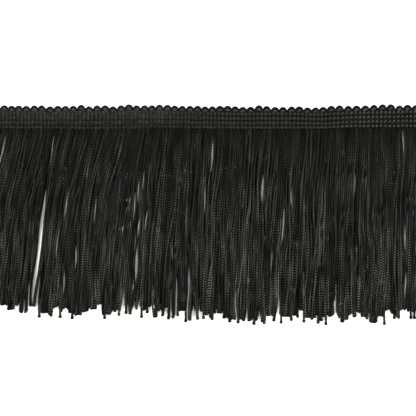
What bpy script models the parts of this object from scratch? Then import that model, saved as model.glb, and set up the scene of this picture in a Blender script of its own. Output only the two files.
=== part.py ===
# Chainette fringe trim, laid flat: a knitted heading, its looped edge, and two layers of strands.
# Metres. X runs along the trim, Y across it towards the looped edge, and Z up from its flat back.
# The origin is the middle of the heading's back.
import math
import random
from bisect import bisect_right
from collections import namedtuple

import bmesh
import bpy

MM = 0.001

# Driving sizes
STITCH = 1.91 * MM
STITCHES_PER_LOOP = 2
LOOP_COUNT = 55
ROW_PITCH = 2.18 * MM
ROW_COUNT = 5
OVERALL_DROP = 101.6 * MM
GAP = 0.3 * MM

LOOP_PITCH = STITCH * STITCHES_PER_LOOP
STRANDS_PER_LAYER = LOOP_COUNT * STITCHES_PER_LOOP
LENGTH = LOOP_COUNT * LOOP_PITCH

# Heading: raised rows of chain stitches on a band with a flat back
TROUGH_HEIGHT = 1.3 * MM
ROW_HEIGHT = 2.0 * MM
EDGE_ROW_HEIGHT = 1.15 * MM
CREST_HALF_SHARE = 0.2
HEADING_STEPS = 34
SHARP_ANGLE = math.radians(50)
LOWER_EDGE = -ROW_COUNT / 2 * ROW_PITCH

# Looped edge: a cord over the edge row, in one arch for each loop
CORD_RADIUS = 0.5 * MM
CORD_HEIGHT = EDGE_ROW_HEIGHT + GAP + CORD_RADIUS
LOOP_FOOT = 3.9 * MM
LOOP_RISE = 1.6 * MM
LOOP_POWER = 0.7
LOOP_STEPS = (0.0, 0.14, 0.34, 0.66, 0.86)
LOOP_SHIFT = 0.22 * MM
LOOP_UNEVEN = 0.14 * MM
LOOP_SEED = 5

# Fringe: each solid strand is a lock of the real chainette ends
ROOT_STRIP_WIDTH = 1.0 * MM
ROOT_LINE = LOWER_EDGE - GAP - ROOT_STRIP_WIDTH
STRAND_THICKNESS = 0.9 * MM
STRAND_BASE_WIDTH = 1.2 * MM
STRAND_TOP_WIDTH = 0.75 * MM
STRAND_LENGTH = OVERALL_DROP - LOOP_FOOT - LOOP_RISE - CORD_RADIUS + ROOT_LINE
SECTION_DEPTHS = (3 * MM, 22 * MM, 44 * MM, 66 * MM)
WANDER = 0.05 * MM
TIP_SPREAD = 1.7 * MM
TIP_LIMIT = 3.6 * MM
TIP_SWELL = 1.08

# How far the edges of the band rise and dip along the trim
Wave = namedtuple("Wave", "place rise")
WAVES = (
    Wave(place=-107 * MM, rise=0.05 * MM),
    Wave(place=-82 * MM, rise=0.02 * MM),
    Wave(place=-57 * MM, rise=0.05 * MM),
    Wave(place=-38 * MM, rise=0.22 * MM),
    Wave(place=-19 * MM, rise=0.38 * MM),
    Wave(place=0 * MM, rise=-0.05 * MM),
    Wave(place=19 * MM, rise=-0.24 * MM),
    Wave(place=38 * MM, rise=-0.22 * MM),
    Wave(place=55 * MM, rise=-0.58 * MM),
    Wave(place=70 * MM, rise=0.05 * MM),
    Wave(place=88 * MM, rise=0.30 * MM),
    Wave(place=107 * MM, rise=0.55 * MM),
)

# Sideways slope of the strands, by where they are rooted: at the root, halfway and at the tip
Lean = namedtuple("Lean", "place root middle tip")
LEANS = (
    Lean(place=-107 * MM, root=-0.30, middle=-0.18, tip=-0.06),
    Lean(place=-76 * MM, root=-0.26, middle=-0.15, tip=-0.08),
    Lean(place=-50 * MM, root=-0.28, middle=-0.14, tip=-0.07),
    Lean(place=-27 * MM, root=-0.20, middle=-0.09, tip=-0.03),
    Lean(place=-4 * MM, root=-0.10, middle=-0.06, tip=-0.03),
    Lean(place=19 * MM, root=-0.10, middle=-0.065, tip=-0.04),
    Lean(place=43 * MM, root=-0.08, middle=-0.05, tip=-0.02),
    Lean(place=68 * MM, root=-0.05, middle=-0.03, tip=-0.02),
    Lean(place=107 * MM, root=-0.02, middle=-0.02, tip=-0.01),
)

# Where the strands part into locks: root place, the depths it opens between, and its width
Parting = namedtuple("Parting", "place upper lower width")
PARTINGS = (
    Parting(place=-70.9 * MM, upper=24 * MM, lower=92 * MM, width=1.3 * MM),
    Parting(place=-25.0 * MM, upper=52 * MM, lower=76 * MM, width=0.9 * MM),
    Parting(place=-7.0 * MM, upper=64 * MM, lower=95 * MM, width=0.8 * MM),
    Parting(place=41.5 * MM, upper=34 * MM, lower=54 * MM, width=0.7 * MM),
    Parting(place=97.0 * MM, upper=42 * MM, lower=82 * MM, width=0.8 * MM),
)
PARTING_REACH = 6.5 * MM
PARTING_EASE = 14 * MM
LOCK_OVERLAP = 0.34 * MM

# Slow sideways drift of a layer's strands together, as waves along the trim and down the strands
Drift = namedtuple("Drift", "layer along down reach start")
DRIFTS = (
    Drift(layer="fringe_back", along=19 * MM, down=160 * MM, reach=0.20 * MM, start=0.3),
    Drift(layer="fringe_back", along=8.3 * MM, down=-95 * MM, reach=0.06 * MM, start=1.9),
    Drift(layer="fringe_front", along=23 * MM, down=-120 * MM, reach=0.24 * MM, start=2.4),
    Drift(layer="fringe_front", along=10.7 * MM, down=85 * MM, reach=0.08 * MM, start=0.8),
)
DRIFT_EASE = 24 * MM

# Mean line of the cut tips along the trim, measured down from the middle of the heading
Tip = namedtuple("Tip", "place drop")
TIPS = (
    Tip(place=-122 * MM, drop=90.0 * MM),
    Tip(place=-98 * MM, drop=91.0 * MM),
    Tip(place=-91 * MM, drop=92.0 * MM),
    Tip(place=-85 * MM, drop=90.2 * MM),
    Tip(place=-79 * MM, drop=94.0 * MM),
    Tip(place=-66 * MM, drop=94.0 * MM),
    Tip(place=-54 * MM, drop=91.6 * MM),
    Tip(place=-46 * MM, drop=93.8 * MM),
    Tip(place=-30 * MM, drop=93.4 * MM),
    Tip(place=-20 * MM, drop=94.9 * MM),
    Tip(place=-9 * MM, drop=95.5 * MM),
    Tip(place=3 * MM, drop=94.5 * MM),
    Tip(place=20 * MM, drop=97.0 * MM),
    Tip(place=34 * MM, drop=95.6 * MM),
    Tip(place=47 * MM, drop=94.9 * MM),
    Tip(place=58 * MM, drop=96.4 * MM),
    Tip(place=72 * MM, drop=95.0 * MM),
    Tip(place=79 * MM, drop=96.9 * MM),
    Tip(place=86 * MM, drop=95.2 * MM),
    Tip(place=96 * MM, drop=93.8 * MM),
    Tip(place=106 * MM, drop=95.0 * MM),
)

# Layers, from the surface up
Layer = namedtuple("Layer", "name shift base seed")
LAYERS = (
    Layer(name="fringe_back", shift=-STITCH / 4, base=0.0, seed=11),
    Layer(name="fringe_front", shift=STITCH / 4, base=STRAND_THICKNESS + GAP, seed=23),
)

Finish = namedtuple("Finish", "name red green blue roughness")
HEADING_FINISH = Finish(name="heading_knit", red=0.024, green=0.024, blue=0.020, roughness=0.85)
CORD_FINISH = Finish(name="picot_cord", red=0.018, green=0.018, blue=0.015, roughness=0.8)
STRAND_FINISH = Finish(name="chainette", red=0.017, green=0.0175, blue=0.0155, roughness=0.7)


def clear_scene():
    for scene_object in list(bpy.data.objects):
        bpy.data.objects.remove(scene_object, do_unlink=True)


def make_material(finish):
    material = bpy.data.materials.new(finish.name)
    material.use_nodes = True
    shader = material.node_tree.nodes["Principled BSDF"]
    shader.inputs["Base Color"].default_value = (finish.red, finish.green, finish.blue, 1.0)
    shader.inputs["Roughness"].default_value = finish.roughness
    shader.inputs["Metallic"].default_value = 0.0
    return material


def value_along(rows, column, place):
    """A column of a table at a place along the trim, on a smooth curve through its rows."""
    places = [row.place for row in rows]
    index = min(max(bisect_right(places, place) - 1, 0), len(rows) - 2)
    share = (place - places[index]) / (places[index + 1] - places[index])
    share = min(max(share, 0.0), 1.0)
    before = getattr(rows[max(index - 1, 0)], column)
    start = getattr(rows[index], column)
    end = getattr(rows[index + 1], column)
    after = getattr(rows[min(index + 2, len(rows) - 1)], column)
    start_slope = (end - before) / 2
    end_slope = (after - start) / 2
    square = share * share
    cube = square * share
    return (
        start * (2 * cube - 3 * square + 1)
        + start_slope * (cube - 2 * square + share)
        + end * (3 * square - 2 * cube)
        + end_slope * (cube - square)
    )


def edge_rise(place):
    return value_along(WAVES, "rise", place)


def ease(share):
    share = min(max(share, 0.0), 1.0)
    return share * share * (3 - 2 * share)


def lean_shift(place, depth):
    """Sideways travel of a strand down to a depth: the integral of its three slopes' curve."""
    share = depth / STRAND_LENGTH
    square = share ** 2
    cube = share ** 3
    root_part = share - 3 / 2 * square + 2 / 3 * cube
    middle_part = 2 * square - 4 / 3 * cube
    tip_part = 2 / 3 * cube - square / 2
    return STRAND_LENGTH * (
        value_along(LEANS, "root", place) * root_part
        + value_along(LEANS, "middle", place) * middle_part
        + value_along(LEANS, "tip", place) * tip_part
    )


def parting_shift(place, depth):
    """Sideways push away from each parting, fading along the trim."""
    shift = 0.0
    for parting in PARTINGS:
        opened = ease((depth - parting.upper) / PARTING_EASE) * ease((parting.lower - depth) / PARTING_EASE)
        reach = abs(place - parting.place) / PARTING_REACH
        push = (parting.width / 2 + LOCK_OVERLAP / 2) * opened * math.exp(-reach)
        shift += math.copysign(push, place - parting.place)
    return shift


def drift_shift(layer, place, depth):
    shift = 0.0
    for drift in DRIFTS:
        if drift.layer == layer.name:
            turn = 2 * math.pi * (place / drift.along + depth / drift.down) + drift.start
            shift += drift.reach * math.sin(turn)
    return shift * ease(depth / DRIFT_EASE)


def strand_place(layer, root, depth):
    shift = lean_shift(root, depth) + parting_shift(root, depth) + drift_shift(layer, root, depth)
    return root + shift


def finish_object(name, mesh, material, collection, trim):
    mesh.materials.append(material)
    piece = bpy.data.objects.new(name, mesh)
    piece.parent = trim
    collection.objects.link(piece)


def close_below(model):
    """Drops the open edge of a sheet to the surface and closes it with one flat face."""
    rim = [edge for edge in model.edges if edge.is_boundary]
    dropped = bmesh.ops.extrude_edge_only(model, edges=rim)["geom"]
    for vertex in (part for part in dropped if isinstance(part, bmesh.types.BMVert)):
        vertex.co.z = 0.0
    open_edges = [edge for edge in model.edges if edge.is_boundary]
    bmesh.ops.contextual_create(model, geom=open_edges)
    bmesh.ops.recalc_face_normals(model, faces=model.faces)


def heading_profile():
    """Points across the band from its lower edge up, each a place across and a height."""
    points = []
    for row in range(ROW_COUNT):
        centre = (row - (ROW_COUNT - 1) / 2) * ROW_PITCH
        crest = EDGE_ROW_HEIGHT if row == ROW_COUNT - 1 else ROW_HEIGHT
        trough = min(crest, TROUGH_HEIGHT)
        points.append((centre - ROW_PITCH / 2, trough))
        points.append((centre - CREST_HALF_SHARE * ROW_PITCH, crest))
        points.append((centre + CREST_HALF_SHARE * ROW_PITCH, crest))
    return points


def build_heading(material, collection, trim):
    profile = heading_profile()
    rows = len(profile) - 1
    model = bmesh.new()
    bmesh.ops.create_grid(model, x_segments=HEADING_STEPS, y_segments=rows, size=0.5)
    for vertex in model.verts:
        across, height = profile[round((vertex.co.y + 0.5) * rows)]
        place = vertex.co.x * LENGTH
        vertex.co = (place, across + edge_rise(place), height)
    close_below(model)
    mesh = bpy.data.meshes.new("heading")
    model.to_mesh(mesh)
    model.free()
    mesh.shade_smooth()
    mesh.set_sharp_from_angle(angle=SHARP_ANGLE)
    finish_object("heading", mesh, material, collection, trim)


def picot_points():
    """Centre line of the looped cord, with slightly uneven loops."""
    chance = random.Random(LOOP_SEED)
    starts = [GAP - LENGTH / 2]
    for loop in range(1, LOOP_COUNT):
        starts.append(loop * LOOP_PITCH - LENGTH / 2 + chance.uniform(-LOOP_SHIFT, LOOP_SHIFT))
    starts.append(LENGTH / 2 - GAP)
    points = []
    for loop in range(LOOP_COUNT):
        rise = LOOP_RISE + chance.uniform(-LOOP_UNEVEN, LOOP_UNEVEN)
        for share in LOOP_STEPS:
            place = starts[loop] + share * (starts[loop + 1] - starts[loop])
            height = rise * math.sin(math.pi * share) ** LOOP_POWER
            points.append((place, LOOP_FOOT + height + edge_rise(place), CORD_HEIGHT))
    points.append((starts[-1], LOOP_FOOT + edge_rise(starts[-1]), CORD_HEIGHT))
    return points


def build_picot_edge(material, collection, trim):
    points = picot_points()
    curve = bpy.data.curves.new("picot_edge", "CURVE")
    curve.dimensions = "3D"
    curve.bevel_depth = CORD_RADIUS
    curve.bevel_resolution = 1
    curve.use_fill_caps = True
    spline = curve.splines.new("POLY")
    spline.points.add(len(points) - 1)
    for target, point in zip(spline.points, points):
        target.co = (*point, 1.0)
    finish_object("picot_edge", curve, material, collection, trim)


def layer_roots(layer):
    first = (STITCH - LENGTH) / 2 + layer.shift
    return [first + number * STITCH for number in range(STRANDS_PER_LAYER)]


def root_strip(layer):
    """The strip that holds a layer's roots, with one face for each strand on its lower edge."""
    model = bmesh.new()
    bmesh.ops.create_grid(model, x_segments=STRANDS_PER_LAYER, y_segments=1, size=0.5)
    for vertex in model.verts:
        place = layer.shift + vertex.co.x * LENGTH
        across = ROOT_LINE + (vertex.co.y + 0.5) * ROOT_STRIP_WIDTH
        vertex.co = (place, across + edge_rise(place), layer.base + STRAND_THICKNESS)
    below = bmesh.ops.extrude_face_region(model, geom=model.faces[:])["geom"]
    for vertex in (part for part in below if isinstance(part, bmesh.types.BMVert)):
        vertex.co.z = layer.base
    bmesh.ops.recalc_face_normals(model, faces=model.faces)
    return model


def root_faces(model, roots):
    """Finds each strand's face on the strip and marks it with the strand's number."""
    number_layer = model.faces.layers.int.new("strand")
    found = []
    for face in model.faces:
        if face.normal.y < -0.5:
            face[number_layer] = round((face.calc_center_median().x - roots[0]) / STITCH)
            found.append(face)
    return found, number_layer


def tip_depth(layer, root, chance):
    """Depth of a cut tip: the mean line where the tip lies, give or take a little."""
    tip_place = strand_place(layer, root, STRAND_LENGTH)
    uneven = min(max(chance.gauss(0.0, TIP_SPREAD), -TIP_LIMIT), TIP_LIMIT)
    return value_along(TIPS, "drop", tip_place) + ROOT_LINE + uneven


def move_section(face, centre, bottom, top, swell):
    """Sets the four corners of a strand's section round its centre line."""
    middle = face.calc_center_median()
    for vertex in face.verts:
        side = 1 if vertex.co.x > middle.x else -1
        upper = vertex.co.z > middle.z
        width = STRAND_TOP_WIDTH if upper else STRAND_BASE_WIDTH
        vertex.co = (centre[0] + side * width * swell / 2, centre[1], top if upper else bottom)


def build_layer(layer, material, collection, trim):
    roots = layer_roots(layer)
    chance = random.Random(layer.seed)
    tips = [tip_depth(layer, root, chance) for root in roots]
    model = root_strip(layer)
    faces, number_layer = root_faces(model, roots)
    for depth in (*SECTION_DEPTHS, None):
        wander = [chance.uniform(-WANDER, WANDER) for _ in roots]
        faces = bmesh.ops.extrude_discrete_faces(model, faces=faces)["faces"]
        for face in faces:
            number = face[number_layer]
            reach = tips[number] if depth is None else depth
            swell = TIP_SWELL if depth is None else 1.0
            place = strand_place(layer, roots[number], reach) + wander[number]
            across = ROOT_LINE + edge_rise(roots[number]) - reach
            move_section(face, (place, across), layer.base, layer.base + STRAND_THICKNESS, swell)
    bmesh.ops.recalc_face_normals(model, faces=model.faces)
    mesh = bpy.data.meshes.new(layer.name)
    model.to_mesh(mesh)
    model.free()
    finish_object(layer.name, mesh, material, collection, trim)


def main():
    clear_scene()
    collection = bpy.data.collections.new("chainette_fringe")
    bpy.context.scene.collection.children.link(collection)
    trim = bpy.data.objects.new("trim", None)
    collection.objects.link(trim)
    build_heading(make_material(HEADING_FINISH), collection, trim)
    build_picot_edge(make_material(CORD_FINISH), collection, trim)
    strand_material = make_material(STRAND_FINISH)
    for layer in LAYERS:
        build_layer(layer, strand_material, collection, trim)


main()
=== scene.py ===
# Looks of the chainette fringe trim: knitted heading, looped edge and a fringe of cut chainette strands.
# Metres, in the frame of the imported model: X along the trim, Y across it, Z up from the surface it lies on.
import math
from collections import namedtuple

import bpy
import numpy as np
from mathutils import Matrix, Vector


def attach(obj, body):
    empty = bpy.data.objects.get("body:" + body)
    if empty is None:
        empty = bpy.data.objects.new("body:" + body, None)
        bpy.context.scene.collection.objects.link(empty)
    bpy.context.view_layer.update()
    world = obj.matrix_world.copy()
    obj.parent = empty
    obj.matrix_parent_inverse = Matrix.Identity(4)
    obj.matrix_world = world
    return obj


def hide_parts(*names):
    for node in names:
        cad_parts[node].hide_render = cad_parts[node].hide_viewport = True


# A millimetre, and a distance longer than any on the trim
MM = 0.001
FAR_AWAY = 1.0

# Sizes of the trim
STITCH = 1.91 * MM
STITCHES_PER_LOOP = 2
LOOP_COUNT = 55
ROW_PITCH = 2.18 * MM
ROW_COUNT = 5
OVERALL_DROP = 101.6 * MM
LOOP_TOP = 6.0 * MM
STITCH_COUNT = LOOP_COUNT * STITCHES_PER_LOOP
LENGTH = STITCH_COUNT * STITCH
LOOP_PITCH = STITCH * STITCHES_PER_LOOP
LOWER_EDGE = -ROW_COUNT / 2 * ROW_PITCH
ROOT_LINE = LOWER_EDGE - 1.3 * MM
STRAND_LENGTH = OVERALL_DROP - LOOP_TOP + ROOT_LINE

# The photograph's frame, in its own pixels, and the height above the surface that it is measured at
FRAME_PIXELS = 416
MIDDLE_ROW_PIXEL = 118.1
PIXEL = 0.4838 * MM
FRAME_HEIGHT = 1.0 * MM
CAMERA_SHIFT = 0.50 * MM
CLIP_START = 10 * MM
LENS = 100.0
SENSOR = 36.0

# How far the band rises and dips along the trim, and its lowest row besides, in mm
Wave = namedtuple("Wave", "place rise low")
WAVES = (
    Wave(-107, 0.05, -0.35), Wave(-82, 0.02, -0.15), Wave(-57, 0.05, -0.55), Wave(-38, 0.22, -0.47),
    Wave(-19, 0.38, -0.25), Wave(0, -0.05, 0.00), Wave(19, -0.24, 0.00), Wave(38, -0.22, 0.00),
    Wave(55, -0.58, 0.30), Wave(70, 0.05, 0.20), Wave(88, 0.30, -0.05), Wave(107, 0.55, -0.20),
)

# How far places along the heading lie from even spacing, in mm
Stretch = namedtuple("Stretch", "place shift")
STRETCHES = (
    Stretch(-105.0, 1.40), Stretch(-99.3, 1.30), Stretch(-87.9, 0.58), Stretch(-64.9, 0.40),
    Stretch(-42.0, 0.42), Stretch(-30.6, 0.28), Stretch(-19.1, -0.04), Stretch(-7.6, -0.49),
    Stretch(3.8, -1.24), Stretch(15.3, -1.56), Stretch(26.7, -1.70), Stretch(38.2, -1.34),
    Stretch(49.7, -1.05), Stretch(61.1, -1.15), Stretch(72.6, -0.14), Stretch(84.0, 0.74),
    Stretch(95.5, 1.60), Stretch(105.0, 1.80),
)

# Top of each loop of the edge, in mm above the middle of the heading
LOOP_TOPS = (
    5.9, 6.02, 5.78, 5.86, 5.75, 5.95, 5.97, 5.48, 5.77, 5.77, 5.79, 6.27, 5.49, 5.98,
    6.0, 5.48, 6.02, 6.44, 6.0, 6.02, 6.02, 6.27, 6.26, 5.9, 5.76, 5.76, 5.82, 5.47,
    5.51, 5.78, 5.81, 5.52, 5.27, 5.27, 6.04, 5.69, 5.23, 5.24, 5.47, 5.46, 4.97, 4.99,
    5.3, 5.78, 5.99, 5.74, 5.89, 5.95, 6.22, 6.47, 6.5, 5.95, 6.27, 6.1, 5.9,
)

# Looped edge: two arches of cord for each loop, one inside the other. A leg runs from its foot, under the
# edge row, to the crown, and its points are in mm along the trim, across it and up. An arch's tilt grows to
# the right, and its cord alternates between a bead and a waist. The outer cord's low tone is painted shade
# and the inner one's high tone painted light.
HEADING_SEED = 7
OUTER_LEG = (
    (-1.80, -1.98, 0.80), (-1.66, -1.40, 1.18), (-1.42, -0.96, 1.45),
    (-1.07, -0.49, 1.62), (-0.55, -0.12, 1.65), (0.0, 0.0, 1.60),
)
INNER_LEG = ((-0.64, -2.05, 0.80), (-0.62, -1.80, 1.25), (-0.44, -1.52, 1.55), (0.0, -1.38, 1.62))
Arch = namedtuple("Arch", "name leg radius tilt tone")
OUTER_ARCH = Arch(name="picot_arches", leg=OUTER_LEG, radius=0.50 * MM, tilt=0.0, tone=-0.33)
INNER_ARCH = Arch(name="picot_inner_arches", leg=INNER_LEG, radius=0.34 * MM, tilt=0.5, tone=2.3)
ARCH_DROP = 0.30 * MM
ARCH_RINGS = 25
ARCH_SIDES = 8
ARCH_WIDTHS = (0.93, 1.05)
ARCH_BEAD = 1.03
ARCH_WAIST = 0.93
ARCH_TONE = 0.2

# Cloth of the band: cross yarns laid side by side, pressed down under each row of stitches
CLOTH_UPPER_EDGE = 4.2 * MM
CLOTH_LOWER_EDGE = -5.35 * MM
CLOTH_TOP = 1.10 * MM
CLOTH_BACK = 0.16 * MM
DIP_DEPTH = 0.25 * MM
DIP_REACH = 0.45 * MM
RIB_HEIGHT = 0.26 * MM
RIB_ROUNDNESS = 0.97
EDGE_RUN = 0.6 * MM
EDGE_HEIGHT = 0.35
SCALLOP_INSET = 0.50 * MM
SCALLOP_SPAN = 0.48
RIBS_PER_STITCH = 2
POINTS_PER_RIB = 5
POINTS_ACROSS = 27

# Tones of the cloth: of each rib, of specks, and of the two fields of stitches. The left field grows lighter
# towards the upper edge, and the right one darker along the trim.
RIB_TONE = 0.35
SPECK_TONE = 1.2
CLOTH_TONE_RIGHT = -0.75
CLOTH_TONE_START = 0.5
CLOTH_TONE_GROWTH = 0.35
CLOTH_TONE_LEFT = 0.6
CLOTH_TONE_PER_MM = 0.3
CLOTH_TONE_LIMITS = (-0.25, 1.2)

# Where the soft stitches on the left give way to clear ones, and where those begin to lean. Each stitch also
# leans at random, by up to a loose tilt on the left and by less on the right.
CLEAR_START = -30 * MM
CLEAR_RUN = 50 * MM
TILT_START = 10 * MM
TILT_RUN = 80 * MM
TILT = 0.42
LOOSE_TILTS = (0.32, 0.12)

# One leg of a chain stitch, from its foot to the crown: across the row, along it and up, as shares of the
# row's half width, of a stitch and of the row's height
STITCH_LEG = (
    (-0.12, -0.05, -0.55), (-0.45, 0.18, -0.25), (-0.80, 0.48, 0.0),
    (-1.00, 0.75, 0.52), (-0.72, 0.93, 0.92), (0.0, 1.00, 1.00),
)
LEG_THICKNESS = 0.60
LEG_SIZES = (0.94, 1.06)
STITCH_SIZES = (0.92, 1.08)
STITCH_RINGS = 19
STITCH_SIDES = 6
STITCH_SET_BACK = 0.2
SPREAD_FAR_LEFT = 1.45

# Rows of chain stitches, with their tones in the left and in the right field
Row = namedtuple("Row", "name across half_width low high radius slant left_tone right_tone")
MIDDLE_ROW = Row(
    name="heading_row_3", across=0.0, half_width=0.36 * MM, low=0.95 * MM, high=1.90 * MM,
    radius=0.38 * MM, slant=0.10, left_tone=0.05, right_tone=-0.02
)
ROWS = (
    Row(name="heading_row_1", across=-4.46 * MM, half_width=0.22 * MM, low=0.95 * MM, high=1.75 * MM,
        radius=0.36 * MM, slant=0.0, left_tone=0.15, right_tone=0.15),
    MIDDLE_ROW._replace(name="heading_row_2", across=-ROW_PITCH, half_width=0.34 * MM),
    MIDDLE_ROW,
    MIDDLE_ROW._replace(name="heading_row_4", across=ROW_PITCH),
    Row(name="heading_row_5", across=3.75 * MM, half_width=0.22 * MM, low=0.80 * MM, high=1.15 * MM,
        radius=0.28 * MM, slant=0.0, left_tone=0.0, right_tone=-0.7),
)
LOWEST_ROW = ROWS[0]

# Tones of the stitches: of all, from stitch to stitch, how much calmer that is in the clear field, and from
# the feet of a stitch to its crown, where soft and where each crown stands out as a dot. That last is painted
# light on the crowns and painted shade on the feet.
ROW_TONE = 0.45
STITCH_TONE = 0.72
STITCH_TONE_CALM = 0.58
CROWN_LIGHT_TONES = (0.2, 1.65)
DOTS_WHERE_CLEAR = 0.36
DOTS_FAR_RIGHT = 0.64
DOTS_GROWTH = 3

# Sideways slope of the strands, by where they are rooted, in mm: at the root, halfway and at the tip
Lean = namedtuple("Lean", "place root middle tip")
LEANS = (
    Lean(-107, -0.30, -0.18, -0.06), Lean(-76, -0.26, -0.15, -0.08), Lean(-50, -0.28, -0.14, -0.07),
    Lean(-27, -0.20, -0.09, -0.03), Lean(-4, -0.10, -0.06, -0.03), Lean(19, -0.10, -0.065, -0.04),
    Lean(43, -0.08, -0.05, -0.02), Lean(68, -0.05, -0.03, -0.02), Lean(107, -0.02, -0.02, -0.01),
)

# Gaps where the surface shows between strands, in mm: places of the upper and of the lower end along the
# trim, how far down the two lie, and the gap's width. Those that reach past the tips are open below.
GAPS = (
    (-77.9, -83.7, 34.8, 87.0, 1.91), (-33.8, -34.3, 63.8, 77.8, 1.20), (-8.7, -8.7, 73.5, 85.5, 0.90),
    (2.9, 2.4, 11.6, 23.2, 0.86), (37.3, 36.8, 44.5, 55.6, 0.58), (95.6, 95.8, 52.7, 63.8, 1.00),
    (27.1, 26.6, 29.5, 39.1, 1.12), (96.3, 95.8, 76.4, 86.1, 0.85), (-34.8, -35.3, 37.7, 47.4, 0.61),
    (-67.2, -68.7, 36.2, 47.4, 1.00), (-1.0, -1.0, 35.8, 44.0, 0.61), (-53.7, -54.7, 40.1, 50.8, 0.51),
    (-63.4, -63.4, 62.8, 70.2, 0.65), (-97.7, -99.2, 9.6, 19.3, 0.99), (-29.0, -30.0, 46.0, 53.5, 0.62),
    (-32.9, -33.4, 50.3, 56.6, 0.66), (40.7, 40.7, 35.8, 41.5, 0.70), (-72.3, -73.0, 58.0, 66.2, 0.61),
    (94.8, 95.3, 7.2, 14.0, 0.66), (62.4, 62.4, 80.3, 86.6, 0.25), (-68.9, -69.2, 74.9, 82.7, 0.61),
    (31.5, 31.0, 64.8, 72.5, 0.56), (-74.5, -75.0, 11.1, 17.9, 0.66), (-32.9, -33.4, 31.9, 38.2, 0.61),
    (-30.5, -30.9, 27.5, 33.8, 0.51), (71.6, 71.6, 27.5, 34.8, 0.51), (-80.8, -84.6, 76.9, 106.9, 1.10),
    (-40.1, -42.1, 87.0, 101.5, 1.70), (34.8, 32.9, 89.9, 105.4, 1.50), (-14.5, -15.5, 78.3, 109.3, 0.83),
    (-86.1, -86.6, 81.7, 101.1, 0.78), (-22.7, -22.7, 91.4, 101.1, 0.60), (-32.9, -32.9, 89.5, 100.1, 1.60),
    (13.6, 15.0, 88.0, 104.5, 0.62), (61.7, 62.7, 90.9, 100.1, 0.62), (-38.4, -38.0, 90.4, 99.1, 0.78),
    (-9.4, -9.4, 93.3, 102.0, 0.63), (19.4, 18.9, 92.8, 102.5, 0.63), (-6.5, -6.0, 91.9, 102.5, 2.09),
    (-3.7, -2.5, 91.9, 102.5, 0.70), (-20.1, -20.0, 92.4, 100.1, 1.30), (-35.1, -36.0, 90.9, 98.6, 2.09),
    (25.2, 25.9, 93.3, 101.1, 0.92), (-17.4, -17.4, 93.8, 100.6, 1.17), (-88.5, -88.9, 89.5, 98.2, 0.63),
)
GAP_TRIM = 0.20 * MM
GAP_BLUNTNESS = 0.7
GAP_LEAD = 4 * MM
LEAST_LEAD = 0.02

# The fringe is cut in blocks: right end of each along the trim, and how far down its tips lie, in mm
CUT_BLOCKS = (
    (-97.2, 90.1), (-92.9, 92.9), (-90.9, 90.2), (-86.6, 93.8), (-83.2, 90.8), (-81.7, 87.0),
    (-76.9, 93.9), (-74.5, 94.9), (-72.6, 91.4), (-69.7, 93.3), (-67.2, 92.3), (-63.8, 94.5),
    (-60.0, 95.2), (-57.1, 93.6), (-53.2, 92.3), (-51.3, 90.0), (-45.9, 95.0), (-41.6, 93.6),
    (-39.7, 91.6), (-35.8, 93.8), (-34.3, 92.5), (-33.4, 94.6), (-31.9, 90.9), (-30.5, 96.5),
    (-28.5, 93.5), (-26.6, 91.3), (-23.2, 96.2), (-21.8, 93.2), (-20.3, 96.1), (-19.3, 93.0),
    (-17.4, 97.0), (-13.5, 95.5), (-11.6, 92.9), (-7.2, 97.6), (-5.8, 92.5), (-3.9, 96.5), (-2.4, 93.0),
    (-1.0, 96.5), (1.0, 94.7), (3.4, 96.3), (7.3, 93.8), (10.2, 95.9), (16.5, 96.8), (21.8, 97.2),
    (24.7, 97.4), (26.1, 95.2), (28.6, 98.1), (31.9, 95.0), (33.9, 97.2), (35.8, 94.3), (41.6, 95.3),
    (45.0, 94.7), (46.5, 92.0), (53.2, 95.6), (56.1, 97.0), (62.9, 95.3), (64.4, 96.2), (66.8, 98.4),
    (68.7, 97.3), (70.2, 94.7), (72.1, 96.0), (73.6, 93.9), (79.4, 95.9), (82.7, 98.9), (86.6, 95.9),
    (88.6, 93.0), (90.0, 94.7), (93.4, 97.0), (96.8, 92.9), (107.9, 93.9),
)
CUT_REACH = 0.45 * MM

# Single tips that hang below their block: place along the trim and how far down they reach, in mm
LONG_TIPS = (
    (-96.0, 93.1), (-90.2, 94.3), (-81.3, 96.7), (-75.4, 96.2), (-71.1, 96.9), (-66.5, 94.5),
    (-65.3, 97.5), (-61.9, 95.5), (-49.6, 97.6), (-42.6, 96.1), (-39.2, 95.2), (-37.2, 95.5),
    (-31.7, 97.2), (-28.9, 94.9), (-25.1, 97.1), (-21.5, 96.4), (-18.6, 97.8), (-16.4, 97.3),
    (-10.3, 98.9), (-8.2, 98.1), (-4.5, 97.6), (-1.7, 97.3), (2.5, 97.6), (8.2, 96.9), (11.0, 98.7),
    (15.1, 99.2), (17.7, 98.2), (20.3, 98.2), (22.8, 100.0), (27.7, 99.6), (32.4, 98.3), (35.9, 99.3),
    (40.8, 97.8), (43.9, 96.2), (46.9, 98.5), (50.8, 97.1), (53.8, 99.1), (55.4, 98.0), (57.6, 99.8),
    (65.2, 98.7), (71.1, 96.5), (77.4, 97.7), (79.2, 99.1), (81.1, 99.6), (85.9, 100.5), (90.7, 97.7),
    (98.7, 97.8), (100.5, 97.9),
)

# The other tips: how unevenly they end. Then how far up a strand starts to bend towards its long tip.
TIP_SPREAD = 1.0 * MM
TIP_EVEN = 0.4 * MM
TIP_BELOW = 0.6 * MM
TIP_LIMIT = 4.5 * MM
TIP_GUIDE = 14 * MM
TIP_STATION = 93 * MM
STATION_NEAR_TIP = -3

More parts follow.
